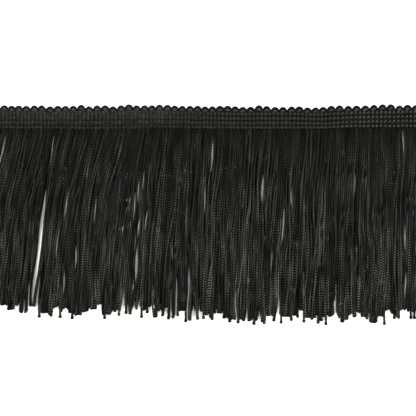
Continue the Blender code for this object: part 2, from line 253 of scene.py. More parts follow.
# Chainette strands: four ends from every stitch, in four levels from the surface up
Level = namedtuple("Level", "name node shift height")
LEVELS = (
    Level(name="strands_1", node="fringe_back", shift=-0.30, height=0.55 * MM),
    Level(name="strands_2", node="fringe_back", shift=0.24, height=0.70 * MM),
    Level(name="strands_3", node="fringe_front", shift=-0.04, height=1.15 * MM),
    Level(name="strands_4", node="fringe_front", shift=0.44, height=1.45 * MM),
)
Strands = namedtuple("Strands", "roots place lift lengths hangs_below")
STRAND_SEED = 66
STRAND_RADIUS = 0.58 * MM
STRAND_FLATNESS = 0.92
STRAND_SIDES = 5
STRAND_SIZES = (0.92, 1.08)
STRAND_START = LOWER_EDGE + 0.5 * MM
CHAIN_PITCH = 1.22 * MM
RINGS_PER_CHAIN = 2
BEAD = 1.03
WAIST = 0.64
UNEVEN_STITCH = 0.4 * MM
UNEVEN_RUN = 6 * MM
UNEVEN_ROWS = 20
FULL_TURN = 6.28
TWIST_PER_MM = 0.06

# A strand's tip: how far from the end each of its rings lies, in mm, and its size. Most tips have only a
# share of this knob.
TIP_RINGS = (
    (4.6, 1.00), (3.7, 1.00), (3.0, 0.98), (2.2, 0.95), (1.6, 1.05), (1.1, 1.40), (0.5, 1.50),
    (0.15, 1.25), (0.0, 0.70),
)
TIP_REACH = TIP_RINGS[0][0] * MM
PLAIN_TIP = 0.95
TIP_END = 0.5
KNOB_SHARE = 0.5

# Sideways sway of the strands: of whole locks, of each strand, and of the few that stray
Sway = namedtuple("Sway", "size run start")
SWAY_START = 30 * MM
LOCK_SWAY = 0.8 * MM
LOCK_WIDTH = 5.2 * MM
LOCK_RUN = 24 * MM
LOCK_START = 0.5
LOCK_MARGIN = 10 * MM
LOCK_GRID = (48, 8)
OWN_SWAY = 1.1 * MM
OWN_SWAYS = (Sway(size=1.0, run=38 * MM, start=0.3), Sway(size=0.3, run=18 * MM, start=0.2))
OWN_ROWS = 7
STRAY_SHARE = 0.3
STRAY_SWAY = 3.5 * MM
STRAY_INSET = 14 * MM

# How far these depart at random from their even places, in mm, and a stitch along its row, in stitches
ARCH_WANDER = 0.15
ARCH_LIFT = 0.08
STITCH_LIFT = 0.05
ROOT_WANDER = 0.18
HEIGHT_WANDER = 0.10
STITCH_WANDER = 0.10
STITCH_WANDER_CALM = 0.6

# Tones of the strands, in locks, from one to the next and along each. They fall towards the tips, under a
# painted shadow of the band at the roots and at the very tips, and rise with height as painted shade of the
# lower strands.
LOCK_TONE = 0.24
LOCK_PITCH = 1.3 * MM
LOCK_TONE_MARGIN = 15 * MM
LOCK_TONE_GRID = (190, 7)
LOCK_TONE_WAVES = 5
STRAND_TONE = 0.62
TONE_WINDOW = 5
TONE_ALONG = 0.34
ALONG_ROWS = 16
ALONG_WAVES = 13
TONE_SPREAD_AT_ROOT = 0.88
TONE_DOWN = -0.40
BAND_SHADOW_TONE = 0.40
ROOT_SHADE = 9 * MM
PAINTED_SHADE_PER_HEIGHT = 0.12 / MM
MIDDLE_HEIGHT = 1.7 * MM
TONE_TIP = 0.35
TIP_SHADE = 1.2 * MM

# Settling of the strands: stations down their length, at which each is a disc beside its neighbours.
# In each round discs are pushed apart, then drawn towards a straight line, home and down. Where strands
# touch, they keep a share of their thickness, their firmness.
STATION_STEP = 2.0 * MM
STATION_COUNT = 49
STATIONS = STATION_STEP * np.arange(STATION_COUNT)
DROPS = STATIONS - STRAND_START
SETTLE_ROUNDS = 260
SORT_EVERY = 6
NEIGHBOURS = 9
FIRMNESS = 0.96
APART = 2 * STRAND_RADIUS * FIRMNESS
PUSH = 0.42
STIFFNESS = 0.35
SHARE_KEPT = 0.995
SINK = 0.012 * MM
FIRST_LIFT = 0.05 * MM
LEAST_HEIGHT = STRAND_RADIUS * STRAND_FLATNESS
NO_DISTANCE = 1e-9

# Looks of the yarns. warm and cool are the two ends of a yarn's hues. tone, patch, stitch and flank say how
# many doublings of brightness each of them spans, and near how much of stitch is left by the roots. stitch is
# painted light and shade of the chains, and flank is painted shade on the sides of a yarn that face away from
# up.
Yarn = namedtuple(
    "Yarn", "name warm cool tone patch stitch roughness specular sheen depth chevron near flank",
    defaults=(0.5, 1.0, 0.0)
)
STRAND_YARN = Yarn(
    name="chainette_yarn", warm=(0.00190, 0.00200, 0.00094), cool=(0.00171, 0.00185, 0.00151),
    tone=2.0, patch=0.4, stitch=8.4, near=0.36, flank=2.1,
    roughness=0.46, specular=0.115, sheen=0.02, depth=0.22 * MM
)
CLOTH_YARN = Yarn(
    name="band_cross_yarn", warm=(0.0151, 0.0163, 0.0110), cool=(0.0145, 0.0154, 0.0127),
    tone=1.0, patch=0.3, stitch=0.4, roughness=0.6, specular=0.12, sheen=0.02, depth=0.10 * MM
)
ROW_YARN = Yarn(
    name="band_stitch_yarn", warm=(0.0193, 0.0208, 0.0144), cool=(0.0185, 0.0197, 0.0164),
    tone=1.5, patch=0.4, stitch=0.3, roughness=0.55, specular=0.22, sheen=0.04, depth=0.10 * MM, chevron=1.5
)
CORD_YARN = Yarn(
    name="edge_cord_yarn", warm=(0.0101, 0.0107, 0.0072), cool=(0.0096, 0.0101, 0.0083),
    tone=1.0, patch=0.8, stitch=0.8, roughness=0.55, specular=0.2, sheen=0.03, depth=0.12 * MM
)
YARN_LEVEL = -0.82
STITCH_MEAN = 0.64
STITCH_SLANT = 0.28
STITCH_CLEARNESS = (0.3, 1.5)
FLANK_SHADE_MEAN = 0.75
PATCH_SCALE = 110.0
FIBRE_STRETCH = (5.0, 5.0, 1.3)
FIBRE_SCALE = 1.6
FIBRE_DETAIL = 4.0
FIBRE_TONE = 0.8
FIBRE_RELIEF = 0.6
RELIEF = 0.9
ROUGHNESS_SPREAD = 0.12
SHEEN_ROUGHNESS = 0.45
SHEEN_TINT = (0.75, 0.75, 0.7, 1.0)

# Noise that is the same all along a strand: cells a metre along the trim, down it and up. USUAL_NOISE is the
# span that most of a noise lies in.
STRAND_GRID = (420.0, 45.0, 200.0)
USUAL_NOISE = (0.35, 0.65)
CLEARNESS_SCALE = 1.0
HUE_SCALE = 0.7
HUE_PATCH = 0.7
HUE_MIDDLE = 0.4
HUE_RISE = 0.18

# Where a strand's stitches show fully and least, measured across the trim from STITCH_TURN. Both distances
# are divided by 1 plus STITCH_WIDEN for each metre to the right.
STITCH_TURN = -24 * MM
STITCH_FULL = -50 * MM
STITCH_LEAST = 16 * MM
STITCH_WIDEN = 4.0

# Floor, round the middle of the trim, and its paper
MIDDLE = -40 * MM
FLOOR_RADIUS = 1100 * MM
FLOOR_SIDES = 96
FLOOR_SINK = 0.02 * MM
FLOOR_GRAIN = 400.0
FLOOR_TONES = (0.88, 0.92)
FLOOR_ROUGHNESS = 0.9

# Light: a surround that is brightest at the horizon, a lamp overhead and one above each corner
LIGHT_TINT = (1.0, 0.985, 0.945)
SURROUND = 0.28
HORIZON = 0.87
HORIZON_HEIGHT = 0.30
OVERHEAD_PLACE = (0.0, MIDDLE, 1000 * MM)
OVERHEAD_SIZE = 400 * MM
OVERHEAD_POWER = 2.53
CORNERS = (("upper_left", -1, 1), ("upper_right", 1, 1), ("lower_left", -1, -1), ("lower_right", 1, -1))
CORNER_REACH = 550 * MM
CORNER_HEIGHT = 600 * MM
CORNER_SIZE = 300 * MM
CORNER_POWER = 8.6


def mix(start, end, share):
    """From start to end, by a share of the way."""
    return start + (end - start) * share


def ease(share):
    """A share held within 0 to 1, with a soft start and end."""
    share = np.clip(share, 0.0, 1.0)
    return share * share * (3 - 2 * share)


def either_way(chance, reach, size):
    """Random values from -reach to reach."""
    return chance.uniform(-reach, reach, size=size)


def smooth_curve(before, start, end, after, share):
    """A share of the way from start to end, on a smooth curve that passes through before and after too."""
    square = share * share
    cube = square * share
    return (
        start * (2 * cube - 3 * square + 1)
        + (end - before) / 2 * (cube - 2 * square + share)
        + end * (3 * square - 2 * cube)
        + (after - start) / 2 * (cube - square)
    )


def along_trim(rows, column, places, unit=MM):
    """A column of a table at places along the trim, on a smooth curve through its rows."""
    knots = np.array([row.place for row in rows]) * MM
    values = np.array([getattr(row, column) for row in rows]) * unit
    last = len(rows) - 1
    index = np.clip(np.searchsorted(knots, places, side="right") - 1, 0, last - 1)
    share = np.clip((places - knots[index]) / (knots[index + 1] - knots[index]), 0.0, 1.0)
    before = values[np.maximum(index - 1, 0)]
    after = values[np.minimum(index + 2, last)]
    return smooth_curve(before, values[index], values[index + 1], after, share)


def stretched(places):
    """Real places along the trim of points given on even spacing."""
    return places + along_trim(STRETCHES, "shift", places)


def clearness(place):
    """How clear the stitches are at a place: from 0 on the left to 1 on the right."""
    return ease((place - CLEAR_START) / CLEAR_RUN)


def leaning(place):
    """How far the stitches lean at a place: from 0 in the middle to 1 on the far right."""
    return ease((place - TILT_START) / TILT_RUN)


def smooth_noise(chance, columns, rows):
    """Makes a grid of random values in -1 to 1, and returns a function that reads it smoothly."""
    grid = chance.uniform(-1, 1, size=(columns, rows))
    just_inside = 1.001

    def read(across, down):
        across = np.clip(across, 0, columns - just_inside)
        down = np.clip(down, 0, rows - just_inside)
        left = np.floor(across).astype(int)
        top = np.floor(down).astype(int)
        x = ease(across - left)
        y = ease(down - top)
        upper = grid[left, top] * (1 - x) + grid[left + 1, top] * x
        lower = grid[left, top + 1] * (1 - x) + grid[left + 1, top + 1] * x
        return upper * (1 - y) + lower * y

    return read


def mesh_object(name, material, points, triangles, yarn, tone):
    """A piece from arrays of points and triangles, with its yarn attributes, shaded smooth."""
    mesh = bpy.data.meshes.new(name)
    mesh.vertices.add(len(points))
    mesh.vertices.foreach_set("co", np.asarray(points, np.float32).ravel())
    mesh.loops.add(3 * len(triangles))
    mesh.loops.foreach_set("vertex_index", np.asarray(triangles, np.int32).ravel())
    mesh.polygons.add(len(triangles))
    mesh.polygons.foreach_set("loop_start", np.arange(0, 3 * len(triangles), 3, dtype=np.int32))
    mesh.polygons.foreach_set("use_smooth", np.ones(len(triangles), bool))
    mesh.update(calc_edges=True)
    mesh.validate()
    attribute = mesh.attributes.new("yarn", "FLOAT_VECTOR", "POINT")
    attribute.data.foreach_set("vector", np.asarray(yarn, np.float32).ravel())
    attribute = mesh.attributes.new("tone", "FLOAT", "POINT")
    attribute.data.foreach_set("value", np.asarray(tone, np.float32).ravel())
    mesh.materials.append(material)
    piece = bpy.data.objects.new(name, mesh)
    bpy.context.scene.collection.objects.link(piece)
    return piece


def tube_triangles(count, rings, sides):
    """Triangles of closed tubes whose rings are turned by half a side from one to the next."""
    ring = np.arange(rings - 1)[:, None]
    side = np.arange(sides)[None, :]
    after = (side + 1) % sides
    a = ring * sides + side
    b = ring * sides + after
    c = (ring + 1) * sides + side
    d = (ring + 1) * sides + after
    odd = ((ring % 2 == 1) & np.ones_like(a, bool))[..., None]
    first = np.where(odd, np.stack([a, d, b], -1), np.stack([a, c, b], -1))
    second = np.where(odd, np.stack([a, c, d], -1), np.stack([b, c, d], -1))
    fan = np.arange(1, sides - 1)
    start_cap = np.stack([np.zeros_like(fan), fan, fan + 1], -1)
    end_cap = np.stack([np.zeros_like(fan), fan + 1, fan], -1) + (rings - 1) * sides
    one = np.concatenate([first.reshape(-1, 3), second.reshape(-1, 3), start_cap, end_cap])
    return (one[None] + (np.arange(count) * rings * sides)[:, None, None]).reshape(-1, 3)


def tubes(centres, thick, sides, along, tones, flatness=1.0, spin=0.0):
    """Points, triangles and yarn attributes of closed tubes round several centre lines.

    centres is tubes x rings x 3, and thick is the half thickness at each ring. The turn from ring to ring
    lays the facets in chevrons, as a chain's stitches lie. spin turns a yarn's looks and not its facets.
    """
    count, rings, _ = centres.shape
    tangent = np.gradient(centres, axis=1)
    tangent /= np.linalg.norm(tangent, axis=2, keepdims=True)
    side_way = np.cross(tangent, np.array([0.0, 0.0, 1.0]))
    side_way /= np.linalg.norm(side_way, axis=2, keepdims=True)
    up_way = np.cross(side_way, tangent)
    half_turns = 0.5 * (np.arange(rings) % 2)
    angles = (np.arange(sides)[None, :] + half_turns[:, None]) * (2 * math.pi / sides)
    angles = np.broadcast_to(angles, (count, rings, sides))
    wide = np.cos(angles) * thick[:, :, None]
    tall = np.sin(angles) * (thick * flatness)[:, :, None]
    points = (
        centres[:, :, None, :]
        + side_way[:, :, None, :] * wide[..., None]
        + up_way[:, :, None, :] * tall[..., None]
    )
    looks = angles + np.asarray(spin)[..., None]
    along = np.broadcast_to(along[:, :, None], looks.shape)
    yarn = np.stack([np.cos(looks), np.sin(looks), along], axis=-1)
    tone = np.broadcast_to(tones[:, :, None], looks.shape)
    return points.reshape(-1, 3), tube_triangles(count, rings, sides), yarn.reshape(-1, 3), tone.ravel()


def smooth_path(points, samples):
    """Points spaced evenly along a smooth curve through the given ones, and the curve's length."""
    points = np.asarray(points, float)
    steps_between = 12
    last = len(points) - 1
    spot = np.linspace(0, last, last * steps_between + 1)
    index = np.minimum(spot.astype(int), last - 1)
    share = (spot - index)[:, None]
    before = points[np.maximum(index - 1, 0)]
    after = points[np.minimum(index + 2, last)]
    curve = smooth_curve(before, points[index], points[index + 1], after, share)
    steps = np.linalg.norm(np.diff(curve, axis=0), axis=1)
    length = np.concatenate([[0.0], np.cumsum(steps)])
    even = np.linspace(0, length[-1], samples)
    return np.stack([np.interp(even, length, curve[:, axis]) for axis in range(3)], axis=1), length[-1]


def both_legs(leg):
    """Mirrors a leg whose last point is the crown, and joins the two."""
    return list(leg) + [(-point[0], point[1], point[2]) for point in reversed(leg[:-1])]


def arch_middles(chance):
    """Where each arch of the looped edge stands along the trim."""
    middles = -LENGTH / 2 + (np.arange(LOOP_COUNT) + 0.5) * LOOP_PITCH
    return stretched(middles) + either_way(chance, ARCH_WANDER, LOOP_COUNT) * MM


def scalloped_edge(places, middles):
    """Upper edge of the cloth: inside each arch it reaches up to the cord."""
    nearest = np.argmin(np.abs(places[:, None] - middles[None, :]), axis=1)
    tops = np.array(LOOP_TOPS)[nearest] * MM - SCALLOP_INSET
    low = CLOTH_UPPER_EDGE + along_trim(WAVES, "rise", places)
    turn = np.clip((places - middles[nearest]) / (LOOP_PITCH / 2), -1, 1)
    return low + np.maximum(tops - low, 0.0) * np.sqrt(np.clip(1 - turn ** 2 / SCALLOP_SPAN, 0, 1))


def sheet_triangles(columns, across):
    """Triangles of two grids of points, one under the other, joined round their rim."""
    under = columns * across
    index = np.arange(under).reshape(columns, across)
    a, b, c, d = index[:-1, :-1], index[1:, :-1], index[1:, 1:], index[:-1, 1:]
    front = np.concatenate([np.stack(corners, -1).reshape(-1, 3) for corners in ((a, b, c), (a, c, d))])
    rim = np.concatenate([index[:, 0], index[-1, 1:], index[-2::-1, -1], index[0, -2:0:-1]])
    following = np.roll(rim, -1)
    wall = [
        np.stack([rim, rim + under, following + under], -1),
        np.stack([rim, following + under, following], -1),
    ]
    return np.concatenate([front, front[:, ::-1] + under, *wall])


def cloth_tones(even, across):
    """Tones of the cloth, at columns of points on even spacing and at their places across the band."""
    chance = np.random.default_rng(HEADING_SEED)
    ribs = STITCH_COUNT * RIBS_PER_STITCH + 1
    rib = np.arange(len(even)) // POINTS_PER_RIB
    shade = chance.uniform(0, 1, size=ribs)
    speck = either_way(chance, 0.5, (ribs, POINTS_ACROSS))
    tone = 0.5 + RIB_TONE * (shade[rib][:, None] - 0.5) + SPECK_TONE * speck[rib]
    clear = clearness(even)[:, None]
    darker = CLOTH_TONE_START + CLOTH_TONE_GROWTH * leaning(even)[:, None]
    lighter = np.clip(CLOTH_TONE_LEFT + CLOTH_TONE_PER_MM * across / MM, *CLOTH_TONE_LIMITS)
    return tone + clear * CLOTH_TONE_RIGHT * darker + (1 - clear) * lighter


def build_cloth(material, middles):
    """The band's cloth: a closed sheet with ribs across it, dipping under the rows of stitches."""
    even = np.linspace(-LENGTH / 2, LENGTH / 2, STITCH_COUNT * RIBS_PER_STITCH * POINTS_PER_RIB + 1)
    place = stretched(even)
    rise = along_trim(WAVES, "rise", place)[:, None]
    upper_edge = scalloped_edge(place, middles)[:, None] - rise
    lower_edge = (CLOTH_LOWER_EDGE + along_trim(WAVES, "low", place))[:, None]
    across = lower_edge + np.linspace(0, 1, POINTS_ACROSS)[None, :] * (upper_edge - lower_edge)
    turn = (2 * ((even + LENGTH / 2) / (STITCH / RIBS_PER_STITCH) % 1.0) - 1)[:, None]
    crown = np.sqrt(np.clip(1 - RIB_ROUNDNESS * turn ** 2, 0, 1))
    dip = sum(np.exp(-((across - row.across) / DIP_REACH) ** 2) for row in ROWS)
    edge = np.clip(np.minimum(across - lower_edge, upper_edge - across) / EDGE_RUN, 0, 1)
    rounding = np.sqrt(1 - (1 - edge) ** 2)
    top = (CLOTH_TOP - RIB_HEIGHT) * mix(EDGE_HEIGHT, 1, rounding) + RIB_HEIGHT * crown * rounding
    top = top - DIP_DEPTH * dip
    bottom = CLOTH_BACK * (1 - crown)
    layers = [
        np.stack(np.broadcast_arrays(place[:, None], across + rise, height), axis=-1).reshape(-1, 3)
        for height in (top, bottom)
    ]
    look = np.stack(np.broadcast_arrays(turn, crown, across / CHAIN_PITCH), axis=-1).reshape(-1, 3)
    tone = cloth_tones(even, across).ravel()
    return mesh_object(
        "heading_cloth", material, np.concatenate(layers), sheet_triangles(len(even), POINTS_ACROSS),
        np.concatenate([look, look]), np.concatenate([tone, tone])
    )


def build_row(row, material, chance):
    """A row of chain stitches, each a loop whose crown lies over the feet of the next."""
    path, length = smooth_path(both_legs(STITCH_LEG), STITCH_RINGS)
    sideways, forward, up = path.T[:, None, :]
    each = (STITCH_COUNT, 1)
    number = np.arange(STITCH_COUNT)[:, None]
    clear = clearness(number * STITCH - LENGTH / 2)
    right = leaning(number * STITCH - LENGTH / 2)
    size = chance.uniform(*STITCH_SIZES, size=each)
    shift = either_way(chance, STITCH_WANDER, each) * (1 - STITCH_WANDER_CALM * clear)
    lift = either_way(chance, STITCH_LIFT, each) * MM
    tilt = TILT * right + mix(*LOOSE_TILTS, clear) * either_way(chance, 1, each)
    across = sideways * row.half_width * size * mix(SPREAD_FAR_LEFT, 1, clear)
    across = across + tilt * (forward - 0.5) * STITCH
    along = forward + shift + row.slant * sideways
    even = -LENGTH / 2 + (number + along - STITCH_SET_BACK) * STITCH
    x = stretched(np.clip(even, -LENGTH / 2, LENGTH / 2))
    y = row.across + across + along_trim(WAVES, "rise", x)
    if row is LOWEST_ROW:
        y = y + along_trim(WAVES, "low", x)
    z = row.low + up * (row.high - row.low) + lift
    crown = ease(up)
    thick = row.radius * mix(LEG_THICKNESS, 1, crown) * chance.uniform(*LEG_SIZES, size=each)
    share = np.linspace(0, 1, STITCH_RINGS)[None, :]
    run = share * length * STITCH / CHAIN_PITCH + chance.uniform(0, 1, size=each)
    tone = mix(row.left_tone, row.right_tone, clear) + ROW_TONE
    tone = tone + STITCH_TONE * (1 - STITCH_TONE_CALM * clear) * either_way(chance, 0.5, each)
    # Painted light and shade: crowns lighter, feet darker
    crown_light = DOTS_WHERE_CLEAR * clear + DOTS_FAR_RIGHT * right ** DOTS_GROWTH
    tone = tone + mix(*CROWN_LIGHT_TONES, crown_light) * (crown - 0.5)
    centres = np.stack([x, y, z], axis=-1)
    return mesh_object(row.name, material, *tubes(centres, thick, STITCH_SIDES, run, tone))


def build_arches(arch, middles, material, chance):
    """One cord of the looped edge, in an arch for every two stitches."""
    path, length = smooth_path(np.array(both_legs(arch.leg)) * MM, ARCH_RINGS)
    along, across, up = path.T[:, None, :]
    each = (LOOP_COUNT, 1)
    tops = np.array(LOOP_TOPS)[:, None] * MM - ARCH_DROP
    x = middles[:, None] + along * chance.uniform(*ARCH_WIDTHS, size=each)
    y = tops + across + arch.tilt * leaning(middles[:, None]) * along
    z = up + either_way(chance, ARCH_LIFT, each) * MM
    thick = arch.radius * np.where(np.arange(ARCH_RINGS) % 2 == 0, ARCH_BEAD, ARCH_WAIST)[None, :]
    share = np.linspace(0, 1, ARCH_RINGS)[None, :]
    run = share * length / CHAIN_PITCH + chance.uniform(0, 1, size=each)
    # Painted shade on the outer cord and painted light on the inner one, through their tones
    tones = arch.tone + either_way(chance, ARCH_TONE, each)
    centres = np.stack([x, y, z], axis=-1)
    return mesh_object(arch.name, material, *tubes(centres, thick, ARCH_SIDES, run, tones))


def build_heading(cloth_yarn, row_yarn, cord_yarn):
    """The band, its rows of stitches and its looped edge. Returns the cloth and what lies on it."""
    chance = np.random.default_rng(HEADING_SEED)
    middles = arch_middles(chance)
    cloth = build_cloth(cloth_yarn, middles)
    rows = [build_row(row, row_yarn, chance) for row in ROWS]
    arches = [build_arches(arch, middles, cord_yarn, chance) for arch in (OUTER_ARCH, INNER_ARCH)]
    for piece in (cloth, *rows):
        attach(piece, "root")
        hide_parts("heading")
    for piece in arches:
        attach(piece, "root")
        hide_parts("picot_edge")
    return cloth, (*rows, *arches)


def lean_shift(roots, depths):
    """Sideways travel of strands down to some depths: the integral of their three slopes' curve."""
    share = depths / STRAND_LENGTH
    square = share ** 2
    cube = share ** 3
    parts = {
        "root": share - 3 / 2 * square + 2 / 3 * cube,
        "middle": 2 * square - 4 / 3 * cube,
        "tip": 2 / 3 * cube - square / 2,
    }
    return STRAND_LENGTH * sum(along_trim(LEANS, slope, roots, 1) * part for slope, part in parts.items())


def lay_out(chance):
    """Roots of all strands, level by level, and the heights and lines that they set out with."""
    first = (STITCH - LENGTH) / 2
    stitches = np.arange(STITCH_COUNT)
    roots = stretched(np.concatenate([first + (stitches + level.shift) * STITCH for level in LEVELS]))
    count = len(roots)
    heights = np.repeat([level.height for level in LEVELS], STITCH_COUNT)
    heights = heights + either_way(chance, HEIGHT_WANDER, count) * MM
    roots = roots + either_way(chance, ROOT_WANDER, count) * MM
    depths = STATIONS[None, :] - (STRAND_START - ROOT_LINE)
    line = roots[:, None] + lean_shift(roots[:, None], np.maximum(depths, 0.0))
    lock_place = (roots[:, None] + LENGTH / 2 + LOCK_MARGIN) / LOCK_WIDTH
    lock = smooth_noise(chance, *LOCK_GRID)(lock_place, depths / LOCK_RUN + LOCK_START)
    number = np.arange(count)[:, None]
    own = sum(
        sway.size * smooth_noise(chance, count + 1, OWN_ROWS)(number, depths / sway.run + sway.start)
        for sway in OWN_SWAYS
    )
    line = line + ease(depths / SWAY_START) * (LOCK_SWAY * lock + OWN_SWAY * own)
    stray = chance.normal(0.0, STRAY_SWAY, size=count) * (chance.uniform(0, 1, size=count) < STRAY_SHARE)
    stray = stray * ease((LENGTH / 2 - np.abs(roots)) / STRAY_INSET)
    return roots, heights, line + stray[:, None] * np.clip(depths / STRAND_LENGTH, 0, 1)


def gap_limits(target):
    """How far left and right each strand may lie at each station, so that the gaps stay open."""
    lowest = np.full(target.shape, -FAR_AWAY)
    highest = np.full(target.shape, FAR_AWAY)
    for top_place, low_place, top, low, width in np.array(GAPS) * MM:
        share = (DROPS - top) / (low - top)
        centre = mix(top_place, low_place, share)
        lead = ease((DROPS - top + GAP_LEAD) / GAP_LEAD) * ease((low + GAP_LEAD - DROPS) / GAP_LEAD)
        opening = (width - GAP_TRIM) / 2 * np.sin(math.pi * np.clip(share, 0, 1)) ** GAP_BLUNTNESS
        clear = STRAND_RADIUS * lead + opening
        first = int(np.argmin(np.abs(DROPS - top)))
        on_right = (target[:, first] > centre[first])[:, None]
        inside = (lead > LEAST_LEAD)[None, :]
        lowest = np.where(on_right & inside, np.maximum(lowest, centre + clear), lowest)
        highest = np.where(~on_right & inside, np.minimum(highest, centre - clear), highest)
    return lowest, highest


def pushes(x, z, here):
    """How far strands in order along the trim push each other sideways and up, where they overlap."""
    push_x = np.zeros_like(x)
    push_z = np.zeros_like(z)
    for reach in range(1, NEIGHBOURS + 1):
        gap_x = x[reach:] - x[:-reach]
        gap_z = z[reach:] - z[:-reach]
        distance = np.sqrt(gap_x ** 2 + gap_z ** 2) + NO_DISTANCE
        overlap = np.clip(APART - distance, 0.0, None) * (here[reach:] & here[:-reach])
        share_x = PUSH * overlap * gap_x / distance
        share_z = PUSH * overlap * gap_z / distance
        push_x[reach:] += share_x
        push_x[:-reach] -= share_x
        push_z[reach:] += share_z
        push_z[:-reach] -= share_z
    return push_x, push_z


def straighten(values):
    """Draws the value at each station towards the mean of the two beside it."""
    values[:, 1:-1] += STIFFNESS * ((values[:, :-2] + values[:, 2:]) / 2 - values[:, 1:-1])


def settle(target, heights, alive, chance):
    """Lets the strands settle sideways and down until none lies in another.

    target is strands x stations of places along the trim. Each strand keeps near its own line, bends
    gently, lies on the surface or on other strands, and makes way for its neighbours and for the gaps.
    """
    count, stations = target.shape
    place = target.copy()
    lift = np.repeat(heights[:, None], stations, axis=1) + chance.uniform(0, FIRST_LIFT, size=(count, 1))
    root_lift = lift[:, 0].copy()
    lowest, highest = gap_limits(target)
    columns = np.arange(stations)[None, :]
    for round_number in range(SETTLE_ROUNDS):
        if round_number % SORT_EVERY == 0:
            hidden = np.where(alive, 0.0, FAR_AWAY)
            order = np.argsort(place + hidden, axis=0, kind="stable")
        x = place[order, columns]
        z = lift[order, columns]
        push_x, push_z = pushes(x, z, alive[order, columns])
        place[order, columns] = x + push_x
        lift[order, columns] = z + push_z
        away = place - target
        straighten(away)
        away[:, 0] = 0.0
        place = np.clip(target + away * SHARE_KEPT, lowest, highest)
        lift -= SINK
        straighten(lift)
        lift[:, 0] = root_lift
        lift = np.maximum(lift, LEAST_HEIGHT)
    return place, lift


def cut_line(places):
    """How far down a strand ends at each place: as its block, or a shorter block that it reaches into."""
    ends, drops = np.array(CUT_BLOCKS).T * MM
    last = len(ends) - 1
    reaches = (-CUT_REACH, 0.0, CUT_REACH)
    spots = [np.minimum(np.searchsorted(ends, places + reach), last) for reach in reaches]
    return np.min(drops[spots], axis=0)


def cut_tips(place, chance):
    """Gives each strand its length: most end at the cut line, and one for each long tip hangs below."""
    last = int(np.argmin(np.abs(DROPS - TIP_STATION)))
    ends = place[:, last]
    short = np.abs(chance.normal(0.0, TIP_SPREAD, size=len(ends))) - TIP_EVEN
    drops = cut_line(ends) + TIP_BELOW - np.clip(short, 0, TIP_LIMIT)
    guide = ease((STATIONS - STATIONS[last] + TIP_GUIDE) / TIP_GUIDE)
    hangs_below = np.zeros(len(ends), bool)
    for tip_place, tip_drop in np.array(LONG_TIPS) * MM:
        number = int(np.argmin(np.abs(ends - tip_place) + np.where(hangs_below, FAR_AWAY, 0.0)))
        hangs_below[number] = True
        drops[number] = tip_drop
        place[number] += guide * (tip_place - ends[number])
        place[number, last:] = place[number, last]
    return place, drops + STRAND_START, hangs_below


def refine(values, lay):
    """Reads rows of station values at finer places down the strands, on smooth curves through them."""
    just_inside = 1.0001
    spot = np.clip(lay / STATION_STEP, 0, STATION_COUNT - just_inside)
    index = np.floor(spot).astype(int)
    last = STATION_COUNT - 1
    rows = np.arange(len(values))[:, None]
    before, start, end, after = (values[rows, np.clip(index + step, 0, last)] for step in (-1, 0, 1, 2))
    return smooth_curve(before, start, end, after, spot - index)


def ring_lays(lengths, chain_rings, chance):
    """How far down each strand its rings lie: as unevenly as it is knitted, and on even spacing."""
    chains = lengths[:, None] - TIP_REACH
    body = chains * np.arange(chain_rings)[None, :] / chain_rings
    ends = lengths[:, None] - np.array(TIP_RINGS)[None, :, 0] * MM
    number = np.arange(STITCH_COUNT)[:, None]
    uneven = smooth_noise(chance, STITCH_COUNT + 1, UNEVEN_ROWS)(number, body / UNEVEN_RUN)
    inside = ease(body / UNEVEN_RUN) * ease((chains - body) / UNEVEN_RUN)
    lay = np.concatenate([body + UNEVEN_STITCH * uneven * inside, ends], axis=1)
    return lay, np.concatenate([body, ends], axis=1)


def ring_sizes(hangs_below, chain_rings, chance):
    """Half thickness of each strand at its rings: a bead and a waist for each chain, and the tip."""
    beads = np.where(np.arange(chain_rings) % RINGS_PER_CHAIN == 0, BEAD, WAIST)
    beads = np.repeat(beads[None, :], STITCH_COUNT, axis=0)
    knob = np.array(TIP_RINGS)[None, :, 1]
    shaped = chance.uniform(0.0, 1.0, size=STITCH_COUNT) * KNOB_SHARE
    tip = mix(PLAIN_TIP, knob, np.where(hangs_below, 1.0, shaped)[:, None])
    tip[:, -1] = TIP_END
    thick = STRAND_RADIUS * np.concatenate([beads, tip], axis=1)
    return thick * chance.uniform(*STRAND_SIZES, size=(STITCH_COUNT, 1))


def own_tones(chance):
    """Random tones for a level of strands, the same on average in each of its stretches."""
    share = chance.uniform(0, 1, size=STITCH_COUNT)
    padded = np.pad(share, TONE_WINDOW // 2, mode="reflect")
    return share - np.convolve(padded, np.ones(TONE_WINDOW) / TONE_WINDOW, mode="valid")


def strand_tones(x, z, lay, lengths, lock_noise, chance):
    """Tone of each strand at its rings."""
    depth = lay / STRAND_LENGTH
    number = np.arange(STITCH_COUNT)[:, None]
    along = smooth_noise(chance, STITCH_COUNT + 1, ALONG_ROWS)(number, depth * ALONG_WAVES)
    lock = lock_noise((x + LENGTH / 2 + LOCK_TONE_MARGIN) / LOCK_PITCH, depth * LOCK_TONE_WAVES)
    varied = STRAND_TONE * own_tones(chance)[:, None] + LOCK_TONE * lock + TONE_ALONG * along
    tone = 0.5 + varied * mix(TONE_SPREAD_AT_ROOT, 1, ease(2 * depth))
    # Painted shade: lower strands darker, higher ones lighter
    tone = tone + TONE_DOWN * (depth - 0.5) + PAINTED_SHADE_PER_HEIGHT * (z - MIDDLE_HEIGHT)
    # Painted shadow of the band, darkest at the roots
    tone = tone - BAND_SHADOW_TONE * np.exp(-lay / ROOT_SHADE)
    return tone - TONE_TIP * np.exp((lay - lengths[:, None]) / TIP_SHADE)


